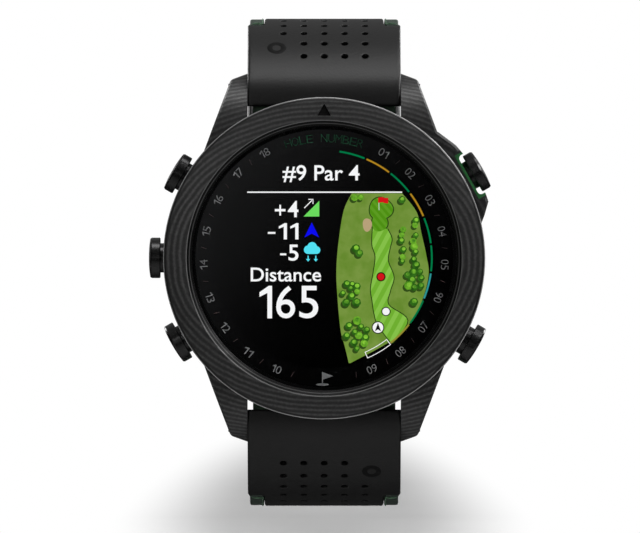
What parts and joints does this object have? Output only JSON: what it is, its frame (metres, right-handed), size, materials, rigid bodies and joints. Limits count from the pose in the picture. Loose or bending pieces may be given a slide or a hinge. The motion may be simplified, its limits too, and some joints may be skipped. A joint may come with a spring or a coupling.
{
  "type": "golf gps watch",
  "caption": "Round sports watch with a carbon case, colour course display, push buttons at the sides and a two-piece quick-release leather strap, shown unbuckled.",
  "frame": {"origin": "on the dial's axis, in the flat rear window that rests on the wrist", "axes": "-Y out of the dial towards the reader, +Y into the wrist, +Z to 12 o'clock, +X to 3 o'clock"},
  "size_m": [0.049, 0.1003, 0.0704],
  "materials": {
    "carbon": "satin",
    "green_rubber": "matte",
    "black_metal": "satin",
    "seal_rubber": "matte",
    "sapphire": "polished",
    "printed_ring": "matte",
    "display_glass": "gloss",
    "black_polymer": "matte",
    "antenna_copper": "satin",
    "circuit_board": "gloss",
    "shield_steel": "brushed",
    "battery_foil": "satin",
    "tungsten": "satin",
    "ribbon_film": "satin",
    "rear_metal": "satin",
    "screw_steel": "satin",
    "dark_window": "gloss",
    "gold_contacts": "polished",
    "sleeve_steel": "satin",
    "green_metal": "satin",
    "strap_leather": "matte",
    "strap_rubber": "matte",
    "spring_steel": "satin"
  },
  "bodies": {
    "case": {"case_body": "carbon", "bezel": "carbon", "guard_liner": "green_rubber", "lug_bars": "black_metal", "lug_screws": "black_metal", "bezel_gasket": "seal_rubber", "lens": "sapphire", "index_ring": "printed_ring", "display_panel": "display_glass", "display_holder": "black_polymer", "antenna_ring": "antenna_copper", "main_board": "circuit_board", "shield_cans": "shield_steel", "battery": "battery_foil", "motor_housing": "shield_steel", "pressure_sensor": "shield_steel", "button_switches": "black_polymer", "ribbon_cables": "ribbon_film", "rear_cover": "rear_metal", "rear_gasket": "seal_rubber", "rear_screws": "screw_steel", "sensor_window": "dark_window", "sensor_board": "circuit_board", "charge_socket": "black_polymer", "charge_contacts": "gold_contacts", "button_sleeves": "sleeve_steel", "button_seals": "seal_rubber", "start_button_spring": "spring_steel", "back_button_spring": "spring_steel", "down_button_spring": "spring_steel", "up_button_spring": "spring_steel", "light_button_spring": "spring_steel"},
    "upper_strap": {"upper_connector": "green_metal", "upper_strap_leather": "strap_leather", "upper_strap_lining": "strap_rubber"},
    "upper_latch": {"upper_latch": "black_metal"},
    "upper_strap_end": {"upper_strap_leather_end": "strap_leather", "upper_strap_lining_end": "strap_rubber", "fixed_keeper": "strap_leather"},
    "loose_keeper": {"loose_keeper": "strap_leather"},
    "buckle": {"buckle_frame": "black_metal", "buckle_bar": "black_metal"},
    "tongue": {"buckle_tongue": "black_metal"},
    "lower_strap": {"lower_connector": "green_metal", "lower_strap_leather": "strap_leather", "lower_strap_lining": "strap_rubber"},
    "lower_latch": {"lower_latch": "black_metal"},
    "lower_strap_end": {"lower_strap_leather_end": "strap_leather", "lower_strap_lining_end": "strap_rubber"},
    "motor_rotor": {"motor_weight": "tungsten"},
    "start_button": {"start_button": "black_metal", "start_button_clip": "spring_steel"},
    "back_button": {"back_button": "black_metal", "back_button_clip": "spring_steel"},
    "down_button": {"down_button": "black_metal", "down_button_clip": "spring_steel"},
    "up_button": {"up_button": "black_metal", "up_button_clip": "spring_steel"},
    "light_button": {"light_button": "black_metal", "light_button_clip": "spring_steel"}
  },
  "joints": [
    {"name": "start_button_press", "type": "slide", "parent": "case", "child": "start_button", "axis": [-0.8704, 0, -0.4924], "range_m": [0, 0.0005], "deforming": ["start_button_spring"]},
    {"name": "back_button_press", "type": "slide", "parent": "case", "child": "back_button", "axis": [-0.8634, 0, 0.5045], "range_m": [0, 0.0005], "deforming": ["back_button_spring"]},
    {"name": "down_button_press", "type": "slide", "parent": "case", "child": "down_button", "axis": [0.866, 0, 0.5], "range_m": [0, 0.0005], "deforming": ["down_button_spring"]},
    {"name": "up_button_press", "type": "slide", "parent": "case", "child": "up_button", "axis": [1, 0, 0], "range_m": [0, 0.0005], "deforming": ["up_button_spring"]},
    {"name": "light_button_press", "type": "slide", "parent": "case", "child": "light_button", "axis": [0.866, 0, -0.5], "range_m": [0, 0.0005], "deforming": ["light_button_spring"]},
    {"name": "upper_strap_swing", "type": "hinge", "parent": "case", "child": "upper_strap", "pos_m": [0, -0.0049, 0.0237], "axis": [1, 0, 0], "range_deg": [-15, 10]},
    {"name": "upper_latch_slide", "type": "slide", "parent": "upper_strap", "child": "upper_latch", "axis": [0, 0.6947, 0.7193], "range_m": [0, 0.0021]},
    {"name": "upper_strap_flex", "type": "hinge", "parent": "upper_strap", "child": "upper_strap_end", "pos_m": [0, 0.01889, 0.03165], "axis": [1, 0, 0], "range_deg": [-8, 30]},
    {"name": "loose_keeper_slide", "type": "hinge", "parent": "upper_strap_end", "child": "loose_keeper", "pos_m": [0, 0.00519, -0.03541], "axis": [1, 0, 0], "range_deg": [-4.8, 7]},
    {"name": "buckle_swing", "type": "hinge", "parent": "upper_strap_end", "child": "buckle", "pos_m": [0, 0.05132, 0.01518], "axis": [1, 0, 0], "range_deg": [-45, 45]},
    {"name": "tongue_lift", "type": "hinge", "parent": "buckle", "child": "tongue", "pos_m": [0, 0.05132, 0.01518], "axis": [1, 0, 0], "range_deg": [0, 62]},
    {"name": "lower_strap_swing", "type": "hinge", "parent": "case", "child": "lower_strap", "pos_m": [0, -0.0049, -0.0237], "axis": [1, 0, 0], "range_deg": [-10, 9]},
    {"name": "lower_latch_slide", "type": "slide", "parent": "lower_strap", "child": "lower_latch", "axis": [0, 0.6947, -0.7193], "range_m": [0, 0.0021]},
    {"name": "lower_strap_flex", "type": "hinge", "parent": "lower_strap", "child": "lower_strap_end", "pos_m": [0, 0.02163, -0.03339], "axis": [1, 0, 0], "range_deg": [-30, 8]},
    {"name": "motor_spin", "type": "hinge", "parent": "case", "child": "motor_rotor", "pos_m": [0.0114, -0.0043, 0], "axis": [0, -1, 0], "continuous": true}
  ]
}
